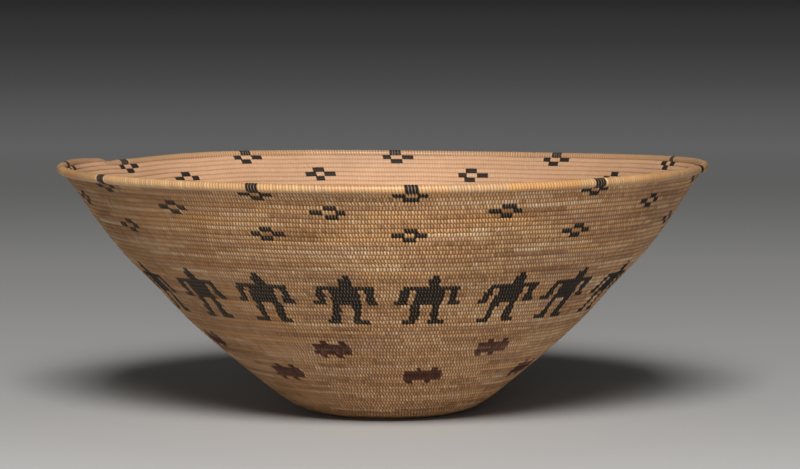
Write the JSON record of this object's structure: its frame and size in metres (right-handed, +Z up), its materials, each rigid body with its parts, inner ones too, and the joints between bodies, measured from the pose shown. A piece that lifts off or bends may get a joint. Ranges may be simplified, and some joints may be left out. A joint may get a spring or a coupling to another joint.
{
  "type": "basket bowl",
  "caption": "Wide coiled basket bowl, flaring from a small flat base, with rows of crosses, standing figures and animals; the last coil of the rim ends blunt, unfinished.",
  "frame": {"origin": "centre of the flat base, on the surface that the bowl rests on", "axes": "+Z up out of the bowl's mouth, -Y towards the side seen in the picture, +X to its right"},
  "size_m": [0.4796, 0.4783, 0.186],
  "materials": {
    "sedge_tan": "split root strands, satin, tan brown",
    "rim_gold": "split root strands, smoother and brighter, golden",
    "grass_straw": "bare dry grass stems, matte",
    "fern_black": "dyed fern root strands, near black, satin",
    "redbud_red": "bark strands, dark red brown, satin"
  },
  "bodies": {
    "root": {"start_knot": "sedge_tan", "base_coil": "sedge_tan", "lower_wall_coil": "sedge_tan", "upper_wall_coil": "sedge_tan", "rim_coil": "rim_gold", "foundation_stems": "grass_straw", "upper_cross_01": "fern_black", "upper_cross_02": "fern_black", "upper_cross_03": "fern_black", "upper_cross_04": "fern_black", "upper_cross_05": "fern_black", "upper_cross_06": "fern_black", "upper_cross_07": "fern_black", "upper_cross_08": "fern_black", "upper_cross_09": "fern_black", "upper_cross_10": "fern_black", "upper_cross_11": "fern_black", "lower_cross_01": "fern_black", "lower_cross_02": "fern_black", "lower_cross_03": "fern_black", "lower_cross_04": "fern_black", "lower_cross_05": "fern_black", "lower_cross_06": "fern_black", "lower_cross_07": "fern_black", "lower_cross_08": "fern_black", "lower_cross_09": "fern_black", "lower_cross_10": "fern_black", "lower_cross_11": "fern_black", "figure_01": "fern_black", "figure_02": "fern_black", "figure_03": "fern_black", "figure_04": "fern_black", "figure_05": "fern_black", "figure_06": "fern_black", "figure_07": "fern_black", "figure_08": "fern_black", "figure_09": "fern_black", "figure_10": "fern_black", "figure_11": "fern_black", "figure_12": "fern_black", "figure_13": "fern_black", "figure_14": "fern_black", "figure_15": "fern_black", "figure_16": "fern_black", "figure_17": "fern_black", "figure_18": "fern_black", "upper_animal_01": "redbud_red", "upper_animal_02": "redbud_red", "upper_animal_03": "redbud_red", "upper_animal_04": "redbud_red", "upper_animal_05": "redbud_red", "upper_animal_06": "redbud_red", "upper_animal_07": "redbud_red", "lower_animal_01": "redbud_red", "lower_animal_02": "redbud_red", "lower_animal_03": "redbud_red", "lower_animal_04": "redbud_red", "lower_animal_05": "redbud_red", "lower_animal_06": "redbud_red", "lower_animal_07": "redbud_red"}
  },
  "joints": []
}
